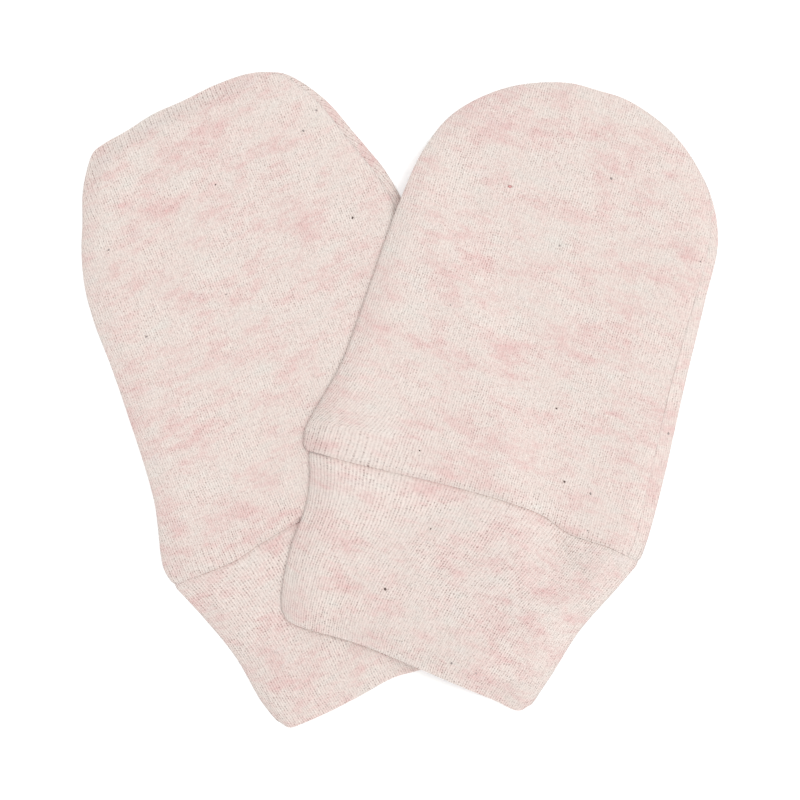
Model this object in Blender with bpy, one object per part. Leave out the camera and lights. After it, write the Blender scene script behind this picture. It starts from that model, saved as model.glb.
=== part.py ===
"""Pair of thumbless baby mittens in fine knit, laid flat, one lying partly on the other.

Each mitten is a face panel and a back panel, sewn together round the hand, and a
rib cuff that is folded double at its hem and sewn to both. The knit is a thin wall
everywhere and the mitten is hollow, open at the hem.

Frame: metres, +Z up, +Y from the hems to the finger tips, +X to the right. The
origin is on the resting surface, under the middle of the pair. The tables below are
in millimetres, in a mitten's own frame: across to its right and along to its tip,
from the middle of its cuff seam.
"""

import math
from collections import namedtuple

import bmesh
import bpy
import numpy as np

MM = 0.001

# Thicknesses and gaps, in millimetres
KNIT = 1.1             # one layer of the hand's interlock knit
RIB = 1.8              # the cuff's wall: rib folded double
SEAM_GAP = 0.3         # between pieces that are sewn together
LIE_GAP = 0.45         # between the lower mitten and the one that lies on it
MIDDLE_HEIGHT = 2.8    # both panels of the hand, in its middle
EDGE_HEIGHT = 3.4      # both panels at the seam round the hand
WRIST_HEIGHT = 4.4     # both panels where they are gathered on to the cuff
CUFF_HEIGHT = 4.1      # the flattened cuff

# How far those heights reach, in millimetres
EDGE_REACH = 12.0      # from the seam round the hand to the middle height
WRIST_REACH = 18.0     # from the cuff seam to the hand's own height
BAND = 7.0             # edge band, where the panels turn round the hand's edge
TURN_REACH = 7.0       # over which the band's sections turn with the edge
SQUARE_REACH = 14.0    # from the cuff seam, where those sections come square to the edge
STOP_RUN = 1.0         # least run of the back panel's seam edge before the underside
HOLD = 3.0             # past the lower mitten's edge, the upper one stays at its height
EASE = 13.0            # and then comes down to the surface over this distance

# Facets
ACROSS = 11            # columns across a panel
ALONG = 14             # rows along a panel
FACE_STOPS = (0.0, 0.55, 0.8, 1.0)   # parts of the way round the face panel's edge band
BACK_STOPS = 5         # steps round the back panel's edge, down to the underside
CUFF_ROWS = 8          # rows along the cuff
HEM_STEPS = 3          # steps round the hem's fold
NOSE_ANGLES = (90, 45, 0, -45, -90)  # degrees, round the cuff's side folds
CURVE_STEPS = 24       # steps between two rows of a table

# Rows of the tables
EdgeStation = namedtuple("EdgeStation", "across along roll")
# roll: how far the seam round the hand lies from the outermost line, measured round
# the edge; positive where the back panel rolls on to the face, negative underneath
Station = namedtuple("Station", "across along")
Fold = namedtuple("Fold", "start end height half_width")

Mitten = namedtuple(
    "Mitten", "name place lean edge shoulders cuff_seam cuff_left cuff_right hem folds"
)

UPPER = Mitten(
    name="upper",
    place=(17.41, -24.57),
    lean=-17.0,
    edge=(
        EdgeStation(-41.2, 0.4, -1.0),
        EdgeStation(-43.2, 4.2, -1.0),
        EdgeStation(-42.0, 11.5, -1.0),
        EdgeStation(-39.6, 23.0, -1.0),
        EdgeStation(-38.7, 40.0, -1.0),
        EdgeStation(-37.7, 63.0, -1.0),
        EdgeStation(-35.7, 77.5, -1.2),
        EdgeStation(-31.4, 87.6, -1.5),
        EdgeStation(-20.9, 97.2, -1.5),
        EdgeStation(-8.0, 102.3, -1.5),
        EdgeStation(8.0, 102.5, -1.5),
        EdgeStation(20.5, 97.9, -1.0),
        EdgeStation(31.4, 88.7, 0.5),
        EdgeStation(37.7, 77.0, 2.8),
        EdgeStation(39.0, 62.0, 3.2),
        EdgeStation(40.2, 42.0, 4.0),
        EdgeStation(42.0, 18.0, 4.2),
        EdgeStation(42.5, 3.5, 4.1),
        EdgeStation(42.2, -2.0, 4.4),
    ),
    shoulders=(7, 12),
    cuff_seam=(
        Station(-41.2, 0.4),
        Station(-30.0, 0.8),
        Station(-18.0, 1.6),
        Station(-4.0, 2.4),
        Station(8.0, 2.6),
        Station(17.0, 1.9),
        Station(24.0, -0.3),
        Station(34.0, -0.7),
        Station(42.2, -2.0),
    ),
    cuff_left=(
        Station(-41.2, 0.4),
        Station(-38.9, -5.5),
        Station(-37.8, -11.5),
        Station(-38.3, -22.5),
        Station(-37.4, -33.0),
        Station(-35.9, -38.2),
    ),
    cuff_right=(
        Station(42.2, -2.0),
        Station(38.7, -10.0),
        Station(33.3, -22.0),
        Station(30.0, -34.0),
        Station(27.7, -42.7),
    ),
    hem=(
        Station(-35.9, -38.2),
        Station(-33.5, -39.8),
        Station(-15.0, -40.1),
        Station(12.0, -42.9),
        Station(24.8, -44.3),
        Station(27.7, -42.7),
    ),
    folds=(
        Fold((28.0, -3.0), (36.0, -5.5), 0.5, 4.5),
        Fold((-12.0, 3.0), (16.0, 3.0), 0.3, 5.0),
    ),
)

LOWER = Mitten(
    name="lower",
    place=(-16.44, -26.42),
    lean=22.0,
    edge=(
        EdgeStation(-41.4, -2.6, -1.0),
        EdgeStation(-42.1, 2.0, -1.0),
        EdgeStation(-38.2, 18.0, -1.0),
        EdgeStation(-36.1, 40.0, -1.0),
        EdgeStation(-35.5, 63.0, -1.0),
        EdgeStation(-32.0, 79.4, -1.6),
        EdgeStation(-26.3, 92.2, -2.4),
        EdgeStation(-22.8, 98.3, -2.8),
        EdgeStation(-17.0, 101.6, -3.1),
        EdgeStation(-4.0, 103.3, -3.2),
        EdgeStation(12.0, 104.4, -2.6),
        EdgeStation(21.5, 103.8, -1.4),
        EdgeStation(28.5, 101.0, 0.8),
        EdgeStation(35.2, 91.6, 2.4),
        EdgeStation(39.0, 81.2, 2.9),
        EdgeStation(42.4, 70.5, 3.0),
        EdgeStation(43.7, 60.0, 2.8),
        EdgeStation(43.2, 35.0, 1.4),
        EdgeStation(41.0, -0.6, 0.6),
    ),
    shoulders=(7, 13),
    cuff_seam=(
        Station(-41.4, -2.6),
        Station(-34.0, -2.6),
        Station(-26.0, -2.6),
        Station(-18.0, -1.0),
        Station(-8.0, 0.3),
        Station(16.0, 0.9),
        Station(41.0, -0.6),
    ),
    cuff_left=(
        Station(-41.4, -2.6),
        Station(-38.0, -12.0),
        Station(-34.3, -24.0),
        Station(-32.2, -36.0),
        Station(-30.5, -42.3),
    ),
    cuff_right=(
        Station(41.0, -0.6),
        Station(37.6, -10.0),
        Station(34.0, -24.0),
        Station(31.5, -38.0),
    ),
    hem=(
        Station(-30.5, -42.3),
        Station(-28.4, -44.4),
        Station(-20.0, -45.1),
        Station(-1.0, -42.6),
        Station(8.0, -43.3),
        Station(31.5, -38.0),
    ),
    folds=(
        Fold((-34.0, -1.0), (-16.0, 1.0), 0.3, 5.0),
    ),
)

# Colour, roughness of the knit
KNIT_COLOUR = (0.82, 0.69, 0.64, 1.0)
RIB_COLOUR = (0.80, 0.66, 0.61, 1.0)
KNIT_ROUGHNESS = 0.92


def clear_scene():
    for item in list(bpy.data.objects):
        bpy.data.objects.remove(item, do_unlink=True)


def ease(x):
    """0 below 0, 1 above 1 and a soft rise between."""
    x = np.clip(x, 0.0, 1.0)
    return x * x * (3.0 - 2.0 * x)


def smooth_curve(rows):
    """Centripetal Catmull-Rom curve through a table's rows, CURVE_STEPS points a span."""
    rows = np.array(rows, dtype=float)
    chords = np.linalg.norm(np.diff(rows[:, :2], axis=0), axis=1)
    knots = np.concatenate(([0.0], np.cumsum(np.sqrt(chords))))
    slopes = np.gradient(rows, knots, axis=0)
    t = np.linspace(0.0, 1.0, CURVE_STEPS, endpoint=False)[:, None]
    spans = []
    for i, width in enumerate(np.diff(knots)):
        spans.append(
            (2 * t**3 - 3 * t**2 + 1) * rows[i]
            + (t**3 - 2 * t**2 + t) * width * slopes[i]
            + (3 * t**2 - 2 * t**3) * rows[i + 1]
            + (t**3 - t**2) * width * slopes[i + 1]
        )
    spans.append(rows[-1:])
    return np.concatenate(spans)


def evenly(curve, steps):
    """steps + 1 points at even distances along a curve, with its other columns."""
    lengths = np.linalg.norm(np.diff(curve[:, :2], axis=0), axis=1)
    reached = np.concatenate(([0.0], np.cumsum(lengths)))
    wanted = np.linspace(0.0, reached[-1], steps + 1)
    return np.stack([np.interp(wanted, reached, column) for column in curve.T], axis=1)


def distance_to(curve, points):
    """Shortest distance from each point to a curve's points."""
    gaps = points[:, None, :] - curve[None, :, :2]
    return np.sqrt((gaps**2).sum(axis=2)).min(axis=1)


def within(outline, points):
    """Whether each point is inside a closed outline, by counting crossings."""
    ends = np.roll(outline, -1, axis=0)
    inside = np.zeros(len(points), dtype=bool)
    for (x0, y0), (x1, y1) in zip(outline, ends):
        spans = (y0 > points[:, 1]) != (y1 > points[:, 1])
        if spans.any():
            crossing = x0 + (points[:, 1] - y0) * (x1 - x0) / (y1 - y0 + 1e-12)
            inside ^= spans & (points[:, 0] < crossing)
    return inside


def turned(points, degrees):
    """Points turned counterclockwise about the origin."""
    cosine = math.cos(math.radians(degrees))
    sine = math.sin(math.radians(degrees))
    return points @ np.array([[cosine, sine], [-sine, cosine]])


def patch(bottom, top, left, right):
    """Grid of rows and columns spanned between four curves that share their corners."""
    rows = len(left)
    columns = len(bottom)
    t = np.linspace(0.0, 1.0, rows)[:, None, None]
    s = np.linspace(0.0, 1.0, columns)[None, :, None]
    ruled_along = (1 - t) * bottom[None] + t * top[None]
    ruled_across = (1 - s) * left[:, None] + s * right[:, None]
    corners = (
        (1 - t) * ((1 - s) * bottom[0] + s * bottom[-1])
        + t * ((1 - s) * top[0] + s * top[-1])
    )
    return ruled_along + ruled_across - corners


class Shape:
    """The plan and heights of one mitten, in its own frame and in millimetres."""

    def __init__(self, mitten, rests_on=None):
        self.mitten = mitten
        self.rests_on = rests_on
        self.edge = smooth_curve(mitten.edge)
        self.seam = smooth_curve(mitten.cuff_seam)
        self.left = smooth_curve(mitten.cuff_left)
        self.right = smooth_curve(mitten.cuff_right)
        self.hem = smooth_curve(mitten.hem)
        cuff = [self.right[1:, :2], self.hem[::-1][1:, :2], self.left[::-1][1:, :2]]
        self.outline = np.concatenate([self.edge[:, :2]] + cuff)

    def seam_along(self, across):
        """Where the cuff seam runs, at a place across."""
        return np.interp(across, self.seam[:, 0], self.seam[:, 1])

    def edge_height(self, above):
        """Height at the seam round the hand, at a distance above the cuff seam."""
        return EDGE_HEIGHT + (WRIST_HEIGHT - EDGE_HEIGHT) * (1 - ease(above / WRIST_REACH))

    def height(self, points):
        """Height of the flattened mitten's face above its underside."""
        above = points[:, 1] - self.seam_along(points[:, 0])
        inset = distance_to(self.edge, points)
        middle = MIDDLE_HEIGHT + (WRIST_HEIGHT - MIDDLE_HEIGHT) * (1 - ease(above / WRIST_REACH))
        edge = self.edge_height(above)
        hand = edge + (middle - edge) * ease((inset - EDGE_HEIGHT / 2) / EDGE_REACH)
        cuff = CUFF_HEIGHT + (WRIST_HEIGHT - CUFF_HEIGHT) * (1 - ease(-above / BAND))
        return np.where(above >= 0, hand, cuff)

    def folded(self, points):
        """How far the soft folds lift the face."""
        lift = np.zeros(len(points))
        for fold in self.mitten.folds:
            start = np.array(fold.start)
            run = np.array(fold.end) - start
            part = np.clip((points - start) @ run / (run @ run), 0.0, 1.0)
            away = np.linalg.norm(points - start - part[:, None] * run, axis=1)
            lift += fold.height * ease(1 - away / fold.half_width)
        return lift

    def top(self, points):
        """Height over the surface that a thing lying on this mitten needs, at points."""
        inside = within(self.outline, points)
        outside = np.where(inside, 0.0, distance_to(self.outline, points))
        needed = self.height(points) + self.folded(points) + LIE_GAP
        return needed * (1 - ease((outside - HOLD) / EASE))

    def lie(self, points):
        """Height of this mitten's underside over the surface, at points."""
        if self.rests_on is None:
            return np.zeros(len(points))
        under = self.rests_on
        world = turned(points, self.mitten.lean) + self.mitten.place
        return under.top(turned(world - under.mitten.place, -under.mitten.lean))


def rim_of(shape):
    """Points round the hand's edge, from the cuff's left to its right, and inward normals."""
    first, second = shape.mitten.shoulders
    cuts = (0, first * CURVE_STEPS, second * CURVE_STEPS, len(shape.edge) - 1)
    parts = []
    for start, end, steps in zip(cuts, cuts[1:], (ALONG, ACROSS, ALONG)):
        parts.append(evenly(shape.edge[start:end + 1], steps)[:-1])
    parts.append(shape.edge[-1:])
    rim = np.concatenate(parts)
    tangents = np.gradient(rim[:, :2], axis=0)
    tangents /= np.linalg.norm(tangents, axis=1)[:, None]
    normals = np.stack((tangents[:, 1], -tangents[:, 0]), axis=1)
    steps = np.linalg.norm(np.diff(rim[:, :2], axis=0), axis=1)
    reached = np.concatenate(([0.0], np.cumsum(steps)))
    normals = np.exp(-((reached[:, None] - reached) / TURN_REACH) ** 2) @ normals
    normals /= np.linalg.norm(normals, axis=1)[:, None]
    above = rim[:, 1] - shape.seam_along(rim[:, 0])
    square = ease(above / SQUARE_REACH)[:, None]
    along_seam = np.stack((-np.sign(rim[:, 0]), np.zeros(len(rim))), axis=1)
    normals = square * normals + (1 - square) * along_seam
    normals /= np.linalg.norm(normals, axis=1)[:, None]
    return rim, normals


def band_point(shape, rim_point, normal, arc, depth):
    """Point of the edge band: arc is measured round the edge, depth into the cloth."""
    above = rim_point[1] - shape.seam_along(rim_point[0])
    radius = shape.edge_height(above) / 2
    quarter = math.pi * radius / 2
    if abs(arc) <= quarter:
        angle = arc / radius
        inset = radius - (radius - depth) * math.cos(angle)
        z = radius + (radius - depth) * math.sin(angle)
        spot = rim_point[:2] + normal * inset
        return np.array((spot[0], spot[1], z))
    inset = radius + abs(arc) - quarter
    spot = rim_point[:2] + normal * inset
    if arc < 0:
        return np.array((spot[0], spot[1], depth))
    top = shape.height(spot[None])[0] + shape.folded(spot[None])[0]
    return np.array((spot[0], spot[1], top - depth))


def band_arc(shape, rim_point):
    """Length round the edge from its outermost line to the band's inner limit."""
    above = rim_point[1] - shape.seam_along(rim_point[0])
    radius = shape.edge_height(above) / 2
    return math.pi * radius / 2 + BAND - radius


def panel_layers(shape, is_face):
    """Outer and inner points of a panel, and the quads that join each of them."""
    rim, normals = rim_of(shape)
    inner_line = rim[:, :2] + normals * BAND
    inner_line[[0, -1], 1] = shape.seam_along(inner_line[[0, -1], 0])
    left = inner_line[:ALONG + 1]
    top = inner_line[ALONG:ALONG + ACROSS + 1]
    right = inner_line[ALONG + ACROSS:][::-1]
    across = np.linspace(left[0, 0], right[0, 0], ACROSS + 1)
    bottom = np.stack((across, shape.seam_along(across)), axis=1)
    grid = patch(bottom, top, left, right)
    flat = grid.reshape(-1, 2)

    layers = []
    for depth in (0.0, KNIT):
        if is_face:
            heights = shape.height(flat) + shape.folded(flat) - depth
        else:
            heights = np.full(len(flat), depth)
        points = [np.column_stack((flat, heights))]
        for stop in range(1, len(FACE_STOPS) if is_face else BACK_STOPS + 2):
            ring = []
            for rim_point, normal in zip(rim, normals):
                limit = band_arc(shape, rim_point)
                if is_face:
                    start = rim_point[2] + SEAM_GAP / 2
                    arc = limit + (start - limit) * FACE_STOPS[stop]
                else:
                    start = rim_point[2] - SEAM_GAP / 2
                    turn = min(-math.pi * EDGE_HEIGHT / 4, start - STOP_RUN)
                    arc = turn + (start - turn) * (stop - 1) / BACK_STOPS
                ring.append(band_point(shape, rim_point, normal, arc, depth))
            points.append(np.array(ring))
        layers.append(np.concatenate(points))

    # The cuff end of every ring lies on the cuff seam
    count = len(rim)
    body = len(flat)
    rings = len(FACE_STOPS) - 1 if is_face else BACK_STOPS + 1
    end_rows = list(range(ACROSS + 1))
    end_rows += [body + ring * count + end for ring in range(rings) for end in (0, count - 1)]
    for layer in layers:
        layer[end_rows, 1] = shape.seam_along(layer[end_rows, 0]) + SEAM_GAP / 2

    columns = ACROSS + 1
    quads = []
    for row in range(ALONG):
        for column in range(ACROSS):
            corner = row * columns + column
            quads.append((corner, corner + 1, corner + columns + 1, corner + columns))
    border = [row * columns for row in range(ALONG)]
    border += [ALONG * columns + column for column in range(ACROSS)]
    border += [row * columns + ACROSS for row in range(ALONG, -1, -1)]
    previous = border
    for ring in range(rings):
        current = [body + ring * count + index for index in range(count)]
        for index in range(count - 1):
            quads.append((previous[index], previous[index + 1], current[index + 1], current[index]))
        previous = current
    return layers, quads


def cuff_rings(shape):
    """Closed rings of the cuff: down its outside, round the hem and up its inside."""
    side_rows = CUFF_ROWS + 1
    left = evenly(shape.left[:, :2], CUFF_ROWS)
    right = evenly(shape.right[:, :2], CUFF_ROWS)
    length = abs(shape.hem[:, 1].mean())
    fold = RIB / 2
    path = [(row / CUFF_ROWS * (1 - fold / length), 0.0) for row in range(side_rows)]
    for step in range(1, HEM_STEPS):
        angle = math.pi * step / HEM_STEPS
        along = 1 - (1 - math.sin(angle)) * fold / length
        path.append((along, fold * (1 - math.cos(angle))))
    path += [(along, RIB) for along, _ in path[side_rows - 1::-1]]
    return [cuff_ring(shape, left, right, along, depth) for along, depth in path]


def cuff_ring(shape, left, right, along, depth):
    """One ring of the cuff at a part of its length and a depth into its wall."""
    stations = np.linspace(0.0, 1.0, len(left))
    left_point = np.array([np.interp(along, stations, column) for column in left.T])
    right_point = np.array([np.interp(along, stations, column) for column in right.T])
    width = np.linalg.norm(right_point - left_point)
    radius = CUFF_HEIGHT / 2

    insets = []
    for angle in NOSE_ANGLES[::-1]:
        turn = math.radians(angle)
        insets.append((
            radius - (radius - depth) * math.cos(turn),
            radius + (radius - depth) * math.sin(turn),
        ))
    middle = np.linspace(BAND, width - BAND, ACROSS + 1)
    loop = [(inset, z) for inset, z in insets]
    loop += [(inset, CUFF_HEIGHT - depth) for inset in middle]
    loop += [(width - inset, z) for inset, z in insets[::-1]]
    loop += [(inset, depth) for inset in middle[::-1]]

    hem = evenly(shape.hem[:, :2], 4 * CURVE_STEPS)
    hem_part = np.linspace(0.0, 1.0, len(hem))
    seam_left, seam_right = shape.seam[0, :2], shape.seam[-1, :2]
    ring = []
    for inset, z in loop:
        part = inset / width
        on_seam = seam_left + part * (seam_right - seam_left)
        on_seam[1] = shape.seam_along(on_seam[0]) - SEAM_GAP / 2
        on_hem = np.array([np.interp(part, hem_part, column) for column in hem.T])
        ruled_along = (1 - along) * on_seam + along * on_hem
        ruled_across = (1 - part) * left_point + part * right_point
        corners = (
            (1 - along) * ((1 - part) * seam_left + part * seam_right)
            + along * ((1 - part) * hem[0] + part * hem[-1])
        )
        spot = ruled_along + ruled_across - corners
        lift = shape.folded(spot[None])[0] if z > radius else 0.0
        ring.append((spot[0], spot[1], z + lift))
    return np.array(ring)


def knit_material(name, colour):
    material = bpy.data.materials.new(name)
    material.use_nodes = True
    shader = material.node_tree.nodes["Principled BSDF"]
    shader.inputs["Base Color"].default_value = colour
    shader.inputs["Roughness"].default_value = KNIT_ROUGHNESS
    shader.inputs["Metallic"].default_value = 0.0
    return material


def add_solid(name, shape, points, faces, material, parent):
    """Object of one closed mesh, laid at its height and placed with its mitten."""
    points = points.copy()
    points[:, 2] += shape.lie(points[:, :2])
    mesh = bpy.data.meshes.new(name)
    mesh.from_pydata((points * MM).tolist(), [], faces)
    work = bmesh.new()
    work.from_mesh(mesh)
    bmesh.ops.recalc_face_normals(work, faces=work.faces)
    bmesh.ops.triangulate(work, faces=work.faces)
    work.to_mesh(mesh)
    work.free()
    mesh.materials.append(material)
    mesh.shade_smooth()
    piece = bpy.data.objects.new(name, mesh)
    bpy.context.scene.collection.objects.link(piece)
    piece.parent = parent
    return piece


def add_panel(shape, is_face, material, parent):
    """Face or back panel: two layers of quads, closed along every free edge."""
    (outer, inner), quads = panel_layers(shape, is_face)
    shift = len(outer)
    uses = {}
    for quad in quads:
        for start, end in zip(quad, quad[1:] + quad[:1]):
            uses[(start, end)] = True
    rims = [edge for edge in uses if (edge[1], edge[0]) not in uses]
    faces = list(quads)
    faces += [tuple(shift + index for index in reversed(quad)) for quad in quads]
    faces += [(end, start, shift + start, shift + end) for start, end in rims]
    name = f"{shape.mitten.name}_mitten_{'face' if is_face else 'back'}_panel"
    return add_solid(name, shape, np.concatenate((outer, inner)), faces, material, parent)


def add_cuff(shape, material, parent):
    """Rib cuff: rings joined one to the next, and the last to the first."""
    rings = cuff_rings(shape)
    count = len(rings[0])
    faces = []
    for row in range(len(rings)):
        after = (row + 1) % len(rings)
        for index in range(count):
            beside = (index + 1) % count
            faces.append((
                row * count + index,
                row * count + beside,
                after * count + beside,
                after * count + index,
            ))
    name = f"{shape.mitten.name}_mitten_cuff"
    return add_solid(name, shape, np.concatenate(rings), faces, material, parent)


def add_mitten(shape):
    """One mitten: an empty at its place, and its three pieces on it."""
    mitten = shape.mitten
    holder = bpy.data.objects.new(f"{mitten.name}_mitten", None)
    bpy.context.scene.collection.objects.link(holder)
    holder.location = (mitten.place[0] * MM, mitten.place[1] * MM, 0.0)
    holder.rotation_euler = (0.0, 0.0, math.radians(mitten.lean))
    face = knit_material(f"{mitten.name}_face_knit", KNIT_COLOUR)
    back = knit_material(f"{mitten.name}_back_knit", KNIT_COLOUR)
    rib = knit_material(f"{mitten.name}_cuff_rib", RIB_COLOUR)
    add_panel(shape, True, face, holder)
    add_panel(shape, False, back, holder)
    add_cuff(shape, rib, holder)


def main():
    clear_scene()
    lower = Shape(LOWER)
    upper = Shape(UPPER, rests_on=lower)
    add_mitten(lower)
    add_mitten(upper)
    bpy.context.view_layer.update()


main()
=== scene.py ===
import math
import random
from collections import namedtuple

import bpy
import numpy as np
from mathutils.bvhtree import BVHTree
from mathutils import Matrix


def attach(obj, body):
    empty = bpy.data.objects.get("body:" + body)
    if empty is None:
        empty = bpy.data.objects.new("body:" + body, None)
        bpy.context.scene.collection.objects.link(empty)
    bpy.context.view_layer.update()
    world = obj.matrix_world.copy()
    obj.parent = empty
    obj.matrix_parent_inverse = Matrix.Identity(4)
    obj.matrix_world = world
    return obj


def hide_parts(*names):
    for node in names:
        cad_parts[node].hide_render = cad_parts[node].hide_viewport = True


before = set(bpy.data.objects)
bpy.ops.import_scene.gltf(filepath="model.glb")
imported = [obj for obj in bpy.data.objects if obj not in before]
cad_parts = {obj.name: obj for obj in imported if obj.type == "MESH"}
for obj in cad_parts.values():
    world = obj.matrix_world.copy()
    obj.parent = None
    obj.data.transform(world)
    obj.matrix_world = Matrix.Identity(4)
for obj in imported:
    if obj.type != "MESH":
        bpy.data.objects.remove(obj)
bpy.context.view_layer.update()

# Looks of the pair of thumbless baby mittens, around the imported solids.
#
# Each solid of the frame is replaced by a thin closed shell of knit on the same form:
# the two panels of each hand, which turn round its edge and dive into a groove at its
# cuff seam, and the doubled rib cuff. Shapes and tables are in millimetres, in a mitten's
# own frame: across to its right and along to its tip, from the middle of its cuff seam.
# The map "Cloth" follows the wales, so the knit bends and opens with the cloth.

MM = 0.001
TINY = 1e-12

# Cloth
KNIT = 0.8  # one layer of the hand's knit, as it shows
RIB = 1.7  # the cuff's rib, folded double
JOIN = 0.006  # half the gap left between pieces that are sewn together
LIE_GAP = 0.12  # between the lower mitten and the one that lies on it
MIDDLE_HEIGHT = 2.8  # both panels of the hand, in its middle
EDGE_HEIGHT = 2.7  # both panels at the seam round the hand
WRIST_HEIGHT = 4.2  # both panels where they are gathered on to the cuff
CUFF_HEIGHT = 3.9  # the flattened cuff

# How far those heights reach
EDGE_REACH = 12.0  # from the seam round the hand to the middle height
WRIST_REACH = 18.0  # from the cuff seam to the hand's own height
BAND = 7.0  # edge band, where the panels turn round the hand's edge
TURN_REACH = 7.0  # over which the band's sections turn with the edge
SQUARE_REACH = 14.0  # from the cuff seam, where those sections come square to the edge
DROOP = 0.64  # share of its height that a hand loses at its outer edge
DROOP_REACH = 3.2
CUFF_DROOP = 0.74  # and a cuff at its side folds
CUFF_DROOP_REACH = 4.5
HEM_DROOP = 0.66  # and at the hem
HEM_DROOP_REACH = 4.0
DROOP_CHANGE = 8.0  # from the cuff seam, where the hand droops like the cuff, to its own
SAG = 2.2  # above 1, the outermost line lies below the middle of the edge
HOLD = 3.0  # past the lower mitten's edge, the upper one stays at its height
EASE = 13.0  # and then comes down to the surface over this distance

# Seams
GROOVE_REACH = 0.6  # of the groove at the seam round the hand
GROOVE_INSIDE = 0.3  # share of that groove on the knit's inner side
DIVE = 0.52  # the hand's face dives to meet the cuff seam
DIVE_UNDER = 0.4  # and its back
DIVE_REACH = 0.65
DIP = 0.45  # the cuff dips to meet them
DIP_REACH = 0.7
DIP_INSIDE = 0.15  # share of that dip on the cuff's inner side
SEAM_HOLD = 2.0  # over which points keep to the cuff seam's line
BULGE_AT = 2.6  # swell of the hand above the cuff seam
BULGE_REACH = 2.6
LOOSE_FROM = 6.0  # from the cuff seam, over which the cloth comes to lie unevenly
HEM_PUFF = 0.12  # the folded hem stands a little proud
HEM_PUFF_AT = 2.2
HEM_PUFF_REACH = 1.4

# How far the knit is stretched open, from 0 to 1; the knit's material deepens the painted shade
# in its gaps by it
SEAM_STRETCH = 0.75  # at the cuff seam
SEAM_STRETCH_REACH = 5.0
CORNER_STRETCH = 2.0  # at the gathered corner, for each mm of swell
CORNER_REACH = 16.0
GROOVE_STRETCH = 2.0  # of a back panel rolled on to the face, for each mm of its groove
TUCKED_FROM = 1.6  # a face panel tucked further than this round the edge is stretched
TUCKED_BAND = 4.8  # this far from the outermost line
TUCKED_FADE = 0.6
CUFF_STRETCH = 0.2

# The wales of a mitten that lies on another are drawn in to its left corner at the cuff,
# square to the seam below a fold, and fan out above it
DRAWN_IN = 8.0
DRAWN_TO = -41.0
DRAWN_REACH = 17.0
FOLD_START = (-42.0, 7.4)
FOLD_SLOPE = 0.12
FAN_REACH = 10.0

# Mesh cells
CELLS_ACROSS = 118
CELLS_ALONG = 132
SEAM_CELLS = 10  # of those along, by the cuff seam
SEAM_SHARE = 0.022  # of the panel's length, that they cover
RINGS = 20  # round the hand's edge
RING_CROWDING = 0.85  # below 1, rings stand closer towards the seam
WALL_RINGS = 3  # across a panel's raw edge
CUFF_CELLS_ACROSS = 120
CUFF_CELLS_ALONG = 60
CUFF_SEAM_CELLS = 10  # of those along, by the cuff seam
CUFF_SEAM_RUN = 3.0  # that they cover
NOSE_CELLS = 12  # round each side fold of the cuff
HEM_CELLS = 10  # round the hem's fold
CURVE_STEPS = 24  # steps between two rows of a table
CURVE_SKIP = 4  # steps taken at a time where a distance needs no more
OUTLINE_SKIP = 3  # and round a whole outline
SHARP_ANGLE = 55.0  # in degrees

# Maps. "Cloth" is in metres of cloth, each piece on a part of its own. "OFBake" goes from
# 0 to 1, in bands that hold a piece's outer side, its inner side and its raw edges.
CLOTH_APART = 200.0  # between the parts of two pieces, in mm
RIB_SPREAD = 0.9  # cloth for each mm across a cuff
LEAN_IN = 0.4  # shares of a cuff's width over which the lean of its wales grows
LEAN_OUT = 0.3  # and fades
MAP_SPAN = (0.004, 0.996)
PANEL_OUTER = (0.204, 0.996)
PANEL_INNER = (0.016, 0.194)
WALL_SPAN = (0.004, 0.99)
WALL_FILL = 0.98  # share of the map's width that a raw edge fills
WALL_START = 0.001
WALL_PITCH = 0.004
WALL_TALL = 0.003
CUFF_OUTER = (0.21, 0.4, 0.38)  # start, how far on its underside starts, and height
CUFF_INNER = (0.004, 0.1, 0.092)

# Knit. wale and course: size of a stitch across and along. The shade of pit and furrow:
# how much painted shade darkens its hole and the gap between wales. relief: depth of the
# stitches.
Gauge = namedtuple("Gauge", "wale course pit furrow relief")
HAND_GAUGE = Gauge(0.58, 0.60, 0.15, 0.09, 0.09)
RIB_GAUGE = Gauge(0.65, 0.62, 0.18, 0.10, 0.11)
# Size across and along of the melange's patches, and their share in its colour
MELANGE = (((21.0, 12.0), 0.56), ((8.5, 4.4), 0.67), ((4.2, 1.9), 0.53), ((1.7, 0.8), 0.30))
# Colours of the melange yarn, linear
CREAM = (0.733, 0.676, 0.628, 1.0)
BLUSH = (0.755, 0.645, 0.600, 1.0)
ROSE = (0.715, 0.466, 0.450, 1.0)
GREY = (0.695, 0.616, 0.612, 1.0)
SHEEN_TINT = (1.0, 0.95, 0.92, 1.0)
# Tint of the painted shade in the gaps between stitches, on pale yarn and on pink
GAP_SHADE_PALE = (0.93, 1.035, 1.045, 1.0)
GAP_SHADE_PINK = (0.84, 1.07, 1.08, 1.0)

# Stray fibres
FLECK_COLOURS = {
    "dark": (0.12, 0.08, 0.07, 1.0),
    "grey": (0.33, 0.28, 0.27, 1.0),
    "red": (0.66, 0.33, 0.32, 1.0),
}
FLECK_CORNERS = 8
FLECK_SHARE = 0.66  # half a fleck's own length, for each mm that its table gives
FLECK_WIDTH = 0.7  # for each mm of its length
FLECK_OVER = 0.05  # its rim over the cloth, and its middle over that rim
FLECK_UNDER = 0.15  # its lower middle under that rim

# Picture, in metres
FLOOR_SIDE = 3.0
LENS = 300.0
SENSOR = 36.0
VIEW_WIDTH = 0.1905  # across the picture, at the height of VIEW_PLANE
VIEW_PLANE = 0.003
VIEW_CENTRE = (0.00011, -0.0001)
CLIP_END = 20.0

# Light
WHITE = (1.0, 1.0, 1.0, 1.0)
SKY = 0.845
FLOOR_GLOW = 0.14
Lamp = namedtuple("Lamp", "name place size power")
LAMPS = (
    Lamp("key", (0.83, -0.18, 1.0), 0.8, 5.4),
    Lamp("fill", (-0.4, 0.2, 1.3), 1.2, 3.5),
)

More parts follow.
